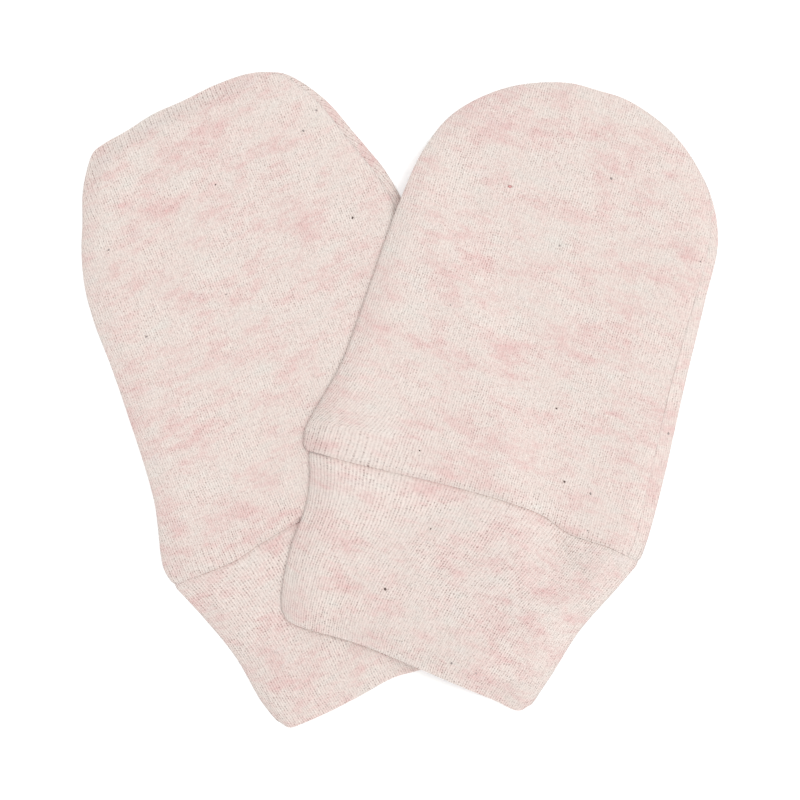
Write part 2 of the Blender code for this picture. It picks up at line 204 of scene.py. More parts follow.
# Curves are rows of a place across and along
Edge = namedtuple("Edge", "across along roll groove", defaults=(-1.0, 0.3))
# roll: how far the seam round the hand lies from the outermost line, measured round
# the edge; positive where the back panel rolls on to the face, negative underneath
# groove: depth of the groove at that seam
Crease = namedtuple("Crease", "stations height half_width fade_in fade_out", defaults=(0.4, 0.4))
# fade_in, fade_out: share of its length over which it rises from and falls to nothing
Fleck = namedtuple("Fleck", "across along length shade")
Mitten = namedtuple(
    "Mitten",
    "name place lean phase bulge rib_lean cloth_start edge shoulders"
    " cuff_seam cuff_left cuff_right hem face_creases cuff_creases back_creases flecks",
)
# lean: degrees that the mitten is turned; rib_lean: mm that its rib leans in each mm
# phase: start of its unevenness; bulge: height of its swell above the cuff seam
# shoulders: numbers of the edge's rows at the two ends of its tip

UPPER = Mitten(
    name="upper",
    place=(17.41, -24.57),
    lean=-17.0,
    phase=2.9,
    bulge=0.35,
    rib_lean=0.11,
    cloth_start=(1000.0, 0.0),
    edge=(
        Edge(-42.2, 0.4), Edge(-42.9, 2.5), Edge(-43.3, 4.9), Edge(-42.9, 8.0), Edge(-42.1, 11.4),
        Edge(-39.6, 23.0), Edge(-38.7, 40.0), Edge(-37.7, 63.0), Edge(-35.7, 77.5, -1.2),
        Edge(-31.4, 87.6, -1.5), Edge(-20.9, 97.2, -1.5), Edge(-8.0, 102.3, -1.5),
        Edge(0.0, 102.8, -1.5), Edge(8.0, 102.5, -1.5), Edge(20.5, 97.9),
        Edge(31.4, 88.7, 0.5, 0.12), Edge(37.7, 77.0, 2.8, 0.1), Edge(39.0, 62.0, 3.2, 0.0),
        Edge(40.2, 42.0, 4.0, 0.02), Edge(42.0, 18.0, 4.2, 0.12), Edge(42.5, 3.5, 4.1, 0.16),
        Edge(42.2, -2.0, 4.4, 0.2),
    ),
    shoulders=(9, 15),
    cuff_seam=(
        (-41.0, 0.35), (-30.0, 0.8), (-18.0, 1.6), (-4.0, 2.4), (8.0, 2.6), (17.0, 1.9),
        (24.0, -0.3), (34.0, -0.7), (42.2, -2.0),
    ),
    cuff_left=(
        (-41.0, 0.35), (-38.9, -5.5), (-37.8, -11.5), (-38.3, -22.5), (-37.4, -33.0),
        (-35.9, -38.2),
    ),
    cuff_right=(
        (42.2, -2.0), (38.7, -10.0), (33.3, -22.0), (30.0, -34.0), (27.4, -42.5),
    ),
    hem=(
        (-35.9, -38.2), (-33.5, -39.8), (-15.0, -40.1), (12.0, -42.9), (19.2, -43.6),
        (24.8, -44.3), (27.4, -42.5),
    ),
    face_creases=(
        Crease(((-42.8, 7.3), (-38.5, 7.6), (-32.0, 8.9)), -0.32, 1.6, 0.0, 0.7),
        Crease(((-40.0, 4.2), (-30.0, 5.0), (-19.0, 5.2)), 0.22, 3.0, 0.1, 0.5),
        Crease(((33.0, 80.0), (34.3, 58.0), (35.0, 40.0), (36.5, 22.0)), -0.26, 3.6, 0.3, 0.3),
        Crease(((-12.0, 5.5), (4.0, 6.6), (16.0, 5.4)), 0.2, 4.0),
        Crease(((-30.0, 30.0), (-26.0, 52.0), (-24.0, 70.0)), 0.16, 9.0),
        Crease(((6.0, 16.0), (12.0, 44.0), (8.0, 72.0)), -0.14, 10.0),
        Crease(((-14.0, 84.0), (4.0, 88.0), (18.0, 82.0)), 0.14, 8.0),
    ),
    cuff_creases=(
        Crease(((20.6, -0.6), (24.6, -4.4), (27.6, -6.9), (33.9, -8.7)), -0.9, 0.9, 0.1, 0.4),
        Crease(((29.0, -2.6), (36.0, -4.6)), 0.3, 3.2, 0.3, 0.3),
        Crease(((-36.0, -8.0), (-35.6, -20.0), (-35.0, -33.0)), -0.12, 2.2, 0.3, 0.3),
        Crease(((-20.0, -12.0), (-8.0, -26.0), (2.0, -33.0)), 0.14, 7.0),
        Crease(((10.0, -12.0), (14.0, -28.0)), -0.12, 6.0),
    ),
    back_creases=(
        Crease(((-30.0, 12.0), (-22.0, 34.0), (-24.0, 60.0)), 0.3, 5.0),
        Crease(((28.0, 8.0), (22.0, 30.0)), 0.26, 4.5, 0.3, 0.4),
    ),
    flecks=(
        Fleck(-13.6, 74.6, 0.8, "red"), Fleck(1.9, 64.6, 0.4, "grey"),
        Fleck(-18.8, 43.4, 0.3, "grey"), Fleck(9.0, 83.5, 0.5, "grey"),
        Fleck(35.1, 70.8, 0.35, "grey"), Fleck(-15.7, 8.2, 0.37, "dark"),
        Fleck(12.5, 27.3, 0.4, "dark"), Fleck(19.4, 11.2, 0.52, "dark"),
        Fleck(26.2, 10.3, 0.5, "grey"), Fleck(28.1, 1.7, 0.35, "grey"),
        Fleck(39.8, 29.4, 0.5, "grey"), Fleck(-7.8, -8.8, 0.36, "dark"),
        Fleck(-13.9, -25.6, 0.6, "dark"), Fleck(6.3, -37.8, 0.5, "grey"),
        Fleck(12.5, -38.4, 0.4, "grey"),
    ),
)

LOWER = Mitten(
    name="lower",
    place=(-16.44, -26.42),
    lean=22.0,
    phase=1.3,
    bulge=0.18,
    rib_lean=0.0,
    cloth_start=(0.0, 0.0),
    edge=(
        Edge(-41.4, -2.6), Edge(-42.1, 2.0), Edge(-38.2, 18.0), Edge(-36.3, 40.0),
        Edge(-35.7, 52.0), Edge(-35.5, 63.0), Edge(-34.4, 71.5, -1.2), Edge(-32.0, 79.4, -1.6),
        Edge(-29.1, 86.0, -2.0), Edge(-26.5, 92.3, -2.4), Edge(-22.7, 98.1, -2.8),
        Edge(-20.3, 100.5, -3.0), Edge(-17.0, 101.4, -3.1), Edge(-11.0, 102.2, -3.2),
        Edge(-4.0, 103.5, -3.2), Edge(4.2, 103.8, -2.9), Edge(12.0, 104.4, -2.6),
        Edge(21.5, 103.8, -1.4), Edge(28.5, 101.0, 0.8, 0.4), Edge(35.3, 91.7, 2.4, 0.62),
        Edge(39.0, 81.2, 2.9, 0.62), Edge(40.8, 75.8, 3.0, 0.62), Edge(42.4, 70.5, 3.0, 0.62),
        Edge(43.7, 60.0, 2.8, 0.45), Edge(43.2, 35.0, 1.4), Edge(41.0, -0.6, 0.6),
    ),
    shoulders=(10, 19),
    cuff_seam=(
        (-41.4, -2.6), (-34.0, -2.6), (-26.0, -2.6), (-18.0, -1.0), (-8.0, 0.3), (16.0, 0.9),
        (41.0, -0.6),
    ),
    cuff_left=(
        (-41.4, -2.6), (-37.8, -12.0), (-34.1, -24.0), (-32.4, -36.0), (-30.5, -42.3),
    ),
    cuff_right=(
        (41.0, -0.6), (37.6, -10.0), (34.0, -24.0), (31.5, -38.0),
    ),
    hem=(
        (-30.5, -42.3), (-28.4, -44.4), (-24.8, -44.6), (-20.0, -44.5), (-10.5, -43.7),
        (-1.0, -42.6), (8.0, -43.3), (31.5, -38.0),
    ),
    face_creases=(
        Crease(
            ((-26.0, 93.0), (-20.0, 100.3), (-4.0, 103.2), (12.0, 104.1), (22.0, 103.0)),
            -1.6, 2.4, 0.12, 0.15,
        ),
        Crease(((-38.0, 2.6), (-28.0, 2.4), (-18.0, 3.6)), 0.2, 3.2, 0.2, 0.4),
        Crease(((-24.0, 24.0), (-18.0, 50.0), (-20.0, 78.0)), 0.15, 9.0),
        Crease(((0.0, 30.0), (6.0, 60.0), (2.0, 86.0)), -0.13, 9.0),
        Crease(((22.0, 96.0), (30.0, 84.0), (34.0, 70.0)), -0.2, 4.0, 0.3, 0.3),
    ),
    cuff_creases=(
        Crease(((-30.0, -12.0), (-26.0, -28.0)), 0.14, 5.0),
        Crease(((-6.0, -10.0), (-4.0, -30.0)), -0.12, 6.0),
    ),
    back_creases=(
        Crease(((-24.0, 10.0), (-20.0, 36.0)), 0.26, 5.0),
        Crease(((20.0, 60.0), (8.0, 82.0)), 0.3, 5.0),
    ),
    flecks=(
        Fleck(31.0, 62.7, 0.5, "dark"), Fleck(3.7, 82.2, 0.33, "dark"),
        Fleck(27.9, 86.3, 0.5, "grey"), Fleck(32.6, 89.6, 0.45, "grey"),
        Fleck(-25.7, 77.4, 0.45, "grey"), Fleck(-25.1, 54.8, 0.45, "grey"),
        Fleck(-3.7, 57.0, 0.3, "grey"),
    ),
)


def ease(x):
    """0 below 0, 1 above 1 and a soft rise between."""
    x = np.clip(x, 0.0, 1.0)
    return x * x * (3.0 - 2.0 * x)


def bell(x):
    """1 at 0, falling softly to almost nothing at 2."""
    return np.exp(-np.square(x))


def blend(first, second, share):
    """first where share is 0, second where it is 1."""
    return first + (second - first) * share


def unit(vectors):
    return vectors / np.linalg.norm(vectors, axis=1)[:, None]


def smooth_curve(rows):
    """Centripetal Catmull-Rom curve through a table's rows, CURVE_STEPS points a span."""
    rows = np.array(rows, dtype=float)
    chords = np.linalg.norm(np.diff(rows[:, :2], axis=0), axis=1)
    knots = np.concatenate(([0.0], np.cumsum(np.sqrt(chords))))
    slopes = np.gradient(rows, knots, axis=0)
    t = np.linspace(0.0, 1.0, CURVE_STEPS, endpoint=False)[:, None]
    spans = []
    for i, width in enumerate(np.diff(knots)):
        spans.append(
            (2 * t**3 - 3 * t**2 + 1) * rows[i]
            + (t**3 - 2 * t**2 + t) * width * slopes[i]
            + (3 * t**2 - 2 * t**3) * rows[i + 1]
            + (t**3 - t**2) * width * slopes[i + 1]
        )
    spans.append(rows[-1:])
    return np.concatenate(spans)


def lengths_along(curve):
    steps = np.linalg.norm(np.diff(curve[:, :2], axis=0), axis=1)
    return np.concatenate(([0.0], np.cumsum(steps)))


def at_parts(curve, parts):
    """Points at parts of a curve's length, with its other columns."""
    reached = lengths_along(curve)
    wanted = np.asarray(parts) * reached[-1]
    return np.stack([np.interp(wanted, reached, column) for column in curve.T], axis=-1)


def nearest_on(line, points):
    """Distance from each point to a line, and the part of the line nearest to it."""
    reached = lengths_along(line)
    best = np.full(len(points), np.inf)
    place = np.zeros(len(points))
    for i, (start, end) in enumerate(zip(line[:-1], line[1:])):
        run = end - start
        part = np.clip((points - start) @ run / (run @ run + TINY), 0.0, 1.0)
        away = ((points - start - part[:, None] * run) ** 2).sum(axis=1)
        nearer = away < best
        best[nearer] = away[nearer]
        place[nearer] = (reached[i] + part[nearer] * (reached[i + 1] - reached[i])) / reached[-1]
    return np.sqrt(best), place


def within(outline, points):
    """Whether each point is inside a closed outline, by counting crossings."""
    ends = np.roll(outline, -1, axis=0)
    inside = np.zeros(len(points), dtype=bool)
    for (x0, y0), (x1, y1) in zip(outline, ends):
        spans = (y0 > points[:, 1]) != (y1 > points[:, 1])
        if spans.any():
            crossing = x0 + (points[:, 1] - y0) * (x1 - x0) / (y1 - y0 + TINY)
            inside ^= spans & (points[:, 0] < crossing)
    return inside


def turned(points, degrees):
    """Points turned counterclockwise about the origin."""
    cosine = math.cos(math.radians(degrees))
    sine = math.sin(math.radians(degrees))
    return points @ np.array([[cosine, sine], [-sine, cosine]])


def patch(bottom, top, left, right, corners, t, s):
    """Points spanned between four curves, t of the way up from the bottom and s of the
    way across from the left. The corners are the bottom's two and then the top's."""
    low_left, low_right, high_left, high_right = corners
    between = blend(blend(low_left, low_right, s), blend(high_left, high_right, s), t)
    return blend(bottom, top, t) + blend(left, right, s) - between


def creased(creases, points):
    """How far soft troughs and ridges move the surface."""
    lift = np.zeros(len(points))
    for crease in creases:
        away, place = nearest_on(smooth_curve(crease.stations)[::CURVE_SKIP], points)
        fade = ease((place + TINY) / max(crease.fade_in, TINY))
        fade *= ease((1 - place + TINY) / max(crease.fade_out, TINY))
        lift += crease.height * fade * bell(away / crease.half_width)
    return lift


def unevenness(points, phase):
    """Slow unevenness of cloth that lies loosely."""
    x, y = points[:, 0], points[:, 1]
    return (
        0.07 * np.sin(x / 7.3 + 0.6 * np.sin(y / 11.0 + phase) + phase)
        + 0.06 * np.sin(y / 8.9 + 0.8 * np.sin(x / 13.0 - phase) + 2.1 * phase)
        + 0.03 * np.sin(x / 3.1 + y / 4.3 + 3.0 * phase)
    )


class Shape:
    """The plan and heights of one mitten, in its own frame."""

    def __init__(self, mitten, rests_on=None):
        self.mitten = mitten
        self.rests_on = rests_on
        self.edge = smooth_curve(mitten.edge)
        self.seam = smooth_curve(mitten.cuff_seam)
        self.left = smooth_curve(mitten.cuff_left)
        self.right = smooth_curve(mitten.cuff_right)
        self.hem = smooth_curve(mitten.hem)
        cuff = [self.right[1:, :2], self.hem[::-1][1:, :2], self.left[::-1][1:, :2]]
        self.outline = np.concatenate([self.edge[:, :2]] + cuff)

    def seam_along(self, across):
        """Where the cuff seam runs, at a place across."""
        return np.interp(across, self.seam[:, 0], self.seam[:, 1])

    def edge_height(self, above):
        """Height at the seam round the hand, at a distance above the cuff seam."""
        return blend(WRIST_HEIGHT, EDGE_HEIGHT, ease(above / WRIST_REACH))

    def height(self, points):
        """Height of the flattened mitten's face above its underside."""
        above = points[:, 1] - self.seam_along(points[:, 0])
        inset, _ = nearest_on(self.edge[::CURVE_SKIP, :2], points)
        middle = blend(WRIST_HEIGHT, MIDDLE_HEIGHT, ease(above / WRIST_REACH))
        inner = ease((inset - EDGE_HEIGHT / 2) / EDGE_REACH)
        hand = blend(self.edge_height(above), middle, inner)
        cuff = blend(WRIST_HEIGHT, CUFF_HEIGHT, ease(-above / BAND))
        return np.where(above >= 0, hand, cuff)

    def hand_lift(self, points, above):
        """Creases and unevenness of the hand's face, and its swell above the cuff seam."""
        lift = creased(self.mitten.face_creases, points)
        lift += unevenness(points, self.mitten.phase) * ease(above / LOOSE_FROM)
        return lift + self.mitten.bulge * bell((above - BULGE_AT) / BULGE_REACH)

    def cuff_lift(self, points, below):
        """Creases and unevenness of the cuff's upper side."""
        lift = creased(self.mitten.cuff_creases, points)
        return lift + unevenness(points, self.mitten.phase + 1.0) * ease(below / LOOSE_FROM)

    def top(self, points):
        """Height over the surface that a thing lying on this mitten needs, at points."""
        away, _ = nearest_on(self.outline[::OUTLINE_SKIP], points)
        outside = np.where(within(self.outline, points), 0.0, away)
        above = points[:, 1] - self.seam_along(points[:, 0])
        lift = np.where(above >= 0, self.hand_lift(points, above), self.cuff_lift(points, -above))
        needed = self.height(points) + lift + LIE_GAP
        return needed * (1 - ease((outside - HOLD) / EASE))

    def lie(self, points):
        """Height of this mitten's underside over the surface, at points."""
        if self.rests_on is None:
            return np.zeros(len(points))
        under = self.rests_on
        world = turned(points, self.mitten.lean) + self.mitten.place
        return under.top(turned(world - under.mitten.place, -under.mitten.lean))

    def placed(self, points):
        """Points laid at their mitten's height and place, in the row frame."""
        world = points.copy()
        world[:, 2] += self.lie(points[:, :2])
        world[:, :2] = turned(points[:, :2], self.mitten.lean) + self.mitten.place
        return world


def rim_of(shape, rows_at):
    """Points round the hand's edge, from the cuff's left to its right, and inward normals."""
    first, second = shape.mitten.shoulders
    cuts = (0, first * CURVE_STEPS, second * CURVE_STEPS, len(shape.edge) - 1)
    columns_at = np.linspace(0.0, 1.0, CELLS_ACROSS + 1)
    parts = []
    for start, end, at in zip(cuts, cuts[1:], (rows_at, columns_at, 1 - rows_at[::-1])):
        parts.append(at_parts(shape.edge[start:end + 1], at)[:-1])
    parts.append(shape.edge[-1:])
    rim = np.concatenate(parts)
    reached = lengths_along(rim)
    tangents = unit(np.gradient(rim[:, :2], reached, axis=0))
    normals = np.stack((tangents[:, 1], -tangents[:, 0]), axis=1)
    weights = bell((reached[:, None] - reached) / TURN_REACH) * np.gradient(reached)
    normals = unit(weights @ normals)
    above = rim[:, 1] - shape.seam_along(rim[:, 0])
    square = ease(above / SQUARE_REACH)[:, None]
    along_seam = np.stack((-np.sign(rim[:, 0]), np.zeros(len(rim))), axis=1)
    return rim, unit(blend(along_seam, normals, square))


class Panel:
    """One panel of a hand. Its points are an inner grid's and then those of rings that
    turn round the hand's edge, out to the seam."""

    def __init__(self, shape, is_face):
        self.shape = shape
        self.is_face = is_face
        fine = np.linspace(0.0, SEAM_SHARE, SEAM_CELLS, endpoint=False)
        coarse = np.linspace(SEAM_SHARE, 1.0, CELLS_ALONG + 1 - SEAM_CELLS)
        self.rows_at = np.concatenate((fine, coarse))
        self.rim, self.normals = rim_of(shape, self.rows_at)
        above = self.rim[:, 1] - shape.seam_along(self.rim[:, 0])
        self.radius = shape.edge_height(above) / 2
        self.quarter = math.pi * self.radius / 2
        self.limit = self.quarter + BAND - self.radius
        self.held = 1 - ease(above / SQUARE_REACH)
        self.grid = self.inner_grid()
        self.arcs = self.ring_arcs()

    def inward(self, inset):
        """Points in from the rim. Near the cuff seam they keep to its line."""
        spots = self.rim[:, :2] + self.normals * np.asarray(inset)[..., None]
        along = self.shape.seam_along
        spots[:, 1] += self.held * (along(spots[:, 0]) - along(self.rim[:, 0]))
        return spots

    def inner_grid(self):
        line = self.inward(BAND)
        line[[0, -1], 1] = self.shape.seam_along(line[[0, -1], 0])
        left = line[:CELLS_ALONG + 1]
        top = line[CELLS_ALONG:CELLS_ALONG + CELLS_ACROSS + 1]
        right = line[CELLS_ALONG + CELLS_ACROSS:][::-1]
        across = np.linspace(left[0, 0], right[0, 0], CELLS_ACROSS + 1)
        bottom = np.stack((across, self.shape.seam_along(across)), axis=1)
        corners = (bottom[0], bottom[-1], top[0], top[-1])
        t = self.rows_at[:, None, None]
        s = np.linspace(0.0, 1.0, CELLS_ACROSS + 1)[:, None]
        return patch(bottom, top, left[:, None], right[:, None], corners, t, s).reshape(-1, 2)

    def ring_arcs(self):
        """Every ring's place, measured round the edge from the outermost line."""
        side = 1 if self.is_face else -1
        steps = np.linspace(0.0, 1.0, RINGS + 1)[1:, None] ** RING_CROWDING
        return blend(side * self.limit, self.rim[:, 2] + side * JOIN, steps)

    def points(self, depth):
        """Every point, at a depth into the cloth."""
        shape = self.shape
        count = len(self.grid)
        spots = [self.grid]
        outward = [np.zeros((count, 2))]
        upward = [np.full(count, 1.0 if self.is_face else -1.0)]
        groove = [np.zeros(count)]
        seam_left, seam_right = shape.seam[0, 0], shape.seam[-1, 0]
        from_side = np.minimum(self.grid[:, 0] - seam_left, seam_right - self.grid[:, 0])
        insets = [np.maximum(from_side, BAND)]
        for arc in self.arcs:
            on_nose = np.abs(arc) <= self.quarter
            angle = np.where(on_nose, arc / self.radius, np.sign(arc) * math.pi / 2)
            beyond = self.radius + np.abs(arc) - self.quarter
            inset = np.where(on_nose, self.radius * (1 - np.cos(angle)), beyond)
            spots.append(self.inward(inset))
            outward.append(-self.normals * np.cos(angle)[:, None])
            upward.append(np.sin(angle))
            insets.append(inset)
            groove.append(self.rim[:, 3] * bell((arc - self.rim[:, 2]) / GROOVE_REACH))
        spots = np.concatenate(spots)
        outward = np.concatenate(outward)
        upward = np.concatenate(upward)

        above = np.maximum(spots[:, 1] - shape.seam_along(spots[:, 0]), 0.0)
        rise = (upward + 1) / 2
        dive = blend(DIVE_UNDER, DIVE, rise) * bell(above / DIVE_REACH)
        grooved = np.concatenate(groove) * blend(1.0, GROOVE_INSIDE, depth / KNIT)
        sunk = depth + grooved + dive

        z = np.where(np.abs(upward) < 1, shape.edge_height(above) * rise ** SAG, 0.0)
        z = np.where(upward >= 1, shape.height(spots), z)
        if self.is_face:
            lift = shape.hand_lift(spots, above)
        else:
            lift = creased(shape.mitten.back_creases, spots)
        z += lift * np.square(upward) * (np.sign(upward) == (1 if self.is_face else -1))
        past_cuff = ease(above / DROOP_CHANGE)
        reach = blend(CUFF_DROOP_REACH, DROOP_REACH, past_cuff)
        droop = blend(CUFF_DROOP, DROOP, past_cuff)
        droop = 1 - droop * bell(np.concatenate(insets) / reach)
        x = spots[:, 0] - outward[:, 0] * sunk
        y = spots[:, 1] - outward[:, 1] * sunk + JOIN * (above < JOIN)
        y += (shape.seam_along(x) - shape.seam_along(spots[:, 0])) * np.exp(-above / SEAM_HOLD)
        return np.stack((x, y, (z - upward * sunk) * droop), axis=1)

    def cloth(self):
        """Every point's place on the flat cut of the panel."""
        side = 1 if self.is_face else -1
        flat = [self.grid]
        for arc in self.arcs:
            inset = side * arc - (self.limit - BAND)
            flat.append(self.inward(inset))
        return np.concatenate(flat)

    def opened(self):
        """How far the knit is stretched open at every point: where one panel is drawn
         round the edge, along the cuff seam and at the gathered corner. The knit's material
         deepens the painted shade in its gaps where it is stretched."""
        shape = self.shape
        flat = self.cloth()
        above = np.maximum(flat[:, 1] - shape.seam_along(flat[:, 0]), 0.0)
        stretch = SEAM_STRETCH * bell(above / SEAM_STRETCH_REACH)
        corner = np.hypot(flat[:, 0] - shape.edge[0, 0], flat[:, 1] - shape.edge[0, 1])
        stretch += shape.mitten.bulge * CORNER_STRETCH * bell(corner / CORNER_REACH)
        if self.is_face:
            tucked = ease(-self.rim[:, 2] - TUCKED_FROM)
            drawn = [tucked * ease((TUCKED_BAND - arc) / TUCKED_FADE) for arc in self.arcs]
        else:
            drawn = [GROOVE_STRETCH * self.rim[:, 3] * (arc > 0) for arc in self.arcs]
        stretch += np.concatenate([np.zeros(len(self.grid))] + drawn)
        return np.clip(stretch, 0.0, 1.0)

    def quads(self):
        columns = CELLS_ACROSS + 1
        corner = (np.arange(CELLS_ALONG)[:, None] * columns + np.arange(CELLS_ACROSS)).ravel()
        found = [np.stack((corner, corner + 1, corner + columns + 1, corner + columns), axis=1)]
        previous = np.concatenate((
            np.arange(CELLS_ALONG) * columns,
            CELLS_ALONG * columns + np.arange(CELLS_ACROSS),
            np.arange(CELLS_ALONG, -1, -1) * columns + CELLS_ACROSS,
        ))
        count = len(previous)
        for ring in range(RINGS):
            current = len(self.grid) + ring * count + np.arange(count)
            found.append(np.stack(
                (previous[:-1], previous[1:], current[1:], current[:-1]), axis=1
            ))
            previous = current
        return np.concatenate(found)


def border_of(quads):
    """Vertices round the open edge of a mesh of quads, in order."""
    pairs = {tuple(pair) for i in range(4) for pair in quads[:, [i, (i + 1) % 4]].tolist()}
    follow = {a: b for a, b in pairs if (b, a) not in pairs}
    loop = [min(follow)]
    while follow[loop[-1]] != loop[0]:
        loop.append(follow[loop[-1]])
    return np.array(loop)


def across_quads(corners):
    """Vectors square to quads, as long as twice their areas."""
    return np.cross(corners[:, 2] - corners[:, 0], corners[:, 3] - corners[:, 1])


def looks_outward(points, faces):
    """Whether the faces of a closed mesh look away from its inside."""
    corners = points[faces]
    return float((corners.mean(axis=1) * across_quads(corners)).sum()) > 0


def area_of(points, faces):
    """Area of quads, in square metres."""
    return float(np.linalg.norm(across_quads(points[faces] * MM), axis=1).sum() / 2)


def fitted(values, span):
    """Values spread over a span."""
    return blend(*span, (values - values.min()) / np.ptp(values))


def added(name, data):
    """A new object of the scene, with that data."""
    thing = bpy.data.objects.new(name, data)
    bpy.context.scene.collection.objects.link(thing)
    return thing


def new_piece(name, points, faces, cloth, bake, opened, material):
    """Closed mesh of quads in the row frame, with its two maps given at face corners, and
    how far its knit is stretched open, from 0 to 1, at each point."""
    if not looks_outward(points, faces):
        faces, cloth, bake = faces[:, ::-1], cloth[:, ::-1], bake[:, ::-1]
    mesh = bpy.data.meshes.new(name)
    mesh.from_pydata((points * MM).tolist(), [], faces.tolist())
    for layer_name, places in (("Cloth", cloth * MM), ("OFBake", bake)):
        layer = mesh.uv_layers.new(name=layer_name, do_init=False)
        layer.uv.foreach_set("vector", places.astype(np.float32).ravel())
    mesh.uv_layers.active = mesh.uv_layers["OFBake"]
    stretch = mesh.attributes.new("open", "FLOAT", "POINT")
    stretch.data.foreach_set("value", opened.astype(np.float32))
    mesh.materials.append(material)
    mesh.shade_smooth()
    mesh.set_sharp_from_angle(angle=math.radians(SHARP_ANGLE))
    return added(name, mesh)


def splayed(shape, cloth):
    """Cloth places with the wales drawn in to the upper mitten's gathered corner."""
    if shape.rests_on is None:
        return cloth
    x, y = cloth[:, 0], cloth[:, 1]
    fold_across, fold_along = FOLD_START
    above_fold = np.maximum(y - fold_along - FOLD_SLOPE * (x - fold_across), 0.0)
    drawn = DRAWN_IN * bell((x - DRAWN_TO) / DRAWN_REACH) * np.exp(-above_fold / FAN_REACH)
    return np.stack((x + drawn, y), axis=1)


def make_panel(shape, is_face, material, cloth_start):
    """Closed shell of one panel: its outer side, its inner side and its raw edges."""
    panel = Panel(shape, is_face)
    outer = panel.points(0.0)
    inner = panel.points(KNIT)
    flat = panel.cloth()
    quads = panel.quads()
    loop = border_of(quads)
    count = len(outer)

    walls = []
    rings = [loop]
    for ring in range(1, WALL_RINGS):
        part = ring / WALL_RINGS
        walls.append(blend(outer[loop], inner[loop], part))
        rings.append(2 * count + (ring - 1) * len(loop) + np.arange(len(loop)))
    rings.append(loop + count)
    wall_quads = [
        np.stack((np.roll(first, -1), first, second, np.roll(second, -1)), axis=1)
        for first, second in zip(rings, rings[1:])
    ]
    points = np.concatenate([outer, inner] + walls)
    faces = np.concatenate([quads, quads[:, ::-1] + count] + wall_quads)

    cloth = (splayed(shape, flat) if is_face else flat) + cloth_start
    ahead = cloth[np.roll(loop, -1)]
    here = cloth[loop]
    wall_cloth = np.stack((ahead, here, here, ahead), axis=1)
    along = fitted(flat[:, 1], MAP_SPAN)
    outer_map = np.stack((along, fitted(flat[:, 0], PANEL_OUTER)), axis=1)
    inner_map = np.stack((along, fitted(flat[:, 0], PANEL_INNER)), axis=1)
    starts = fitted(np.arange(len(loop)), WALL_SPAN)
    ends = starts + WALL_FILL / len(loop)
    wall_maps = []
    for ring in range(WALL_RINGS):
        low = np.full(len(loop), WALL_START + WALL_PITCH * ring)
        high = low + WALL_TALL
        sides = ((ends, low), (starts, low), (starts, high), (ends, high))
        wall_maps.append(np.stack([np.stack(side, axis=1) for side in sides], axis=1))
    cloth_map = np.concatenate([cloth[quads], cloth[quads[:, ::-1]]] + [wall_cloth] * WALL_RINGS)
    bake_map = np.concatenate([outer_map[quads], inner_map[quads[:, ::-1]]] + wall_maps)

    side = "face" if is_face else "back"
    name = f"{shape.mitten.name}_{side}"
    opened = panel.opened()
    opened = np.concatenate([opened, opened] + [opened[loop]] * (WALL_RINGS - 1))
    placed = shape.placed(points)
    piece = new_piece(name, placed, faces, cloth_map, bake_map, opened, material)
    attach(piece, "root")
    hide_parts(f"{shape.mitten.name}_mitten_{side}_panel")
    return piece, np.ptp(flat, axis=0) * MM, area_of(outer, quads)


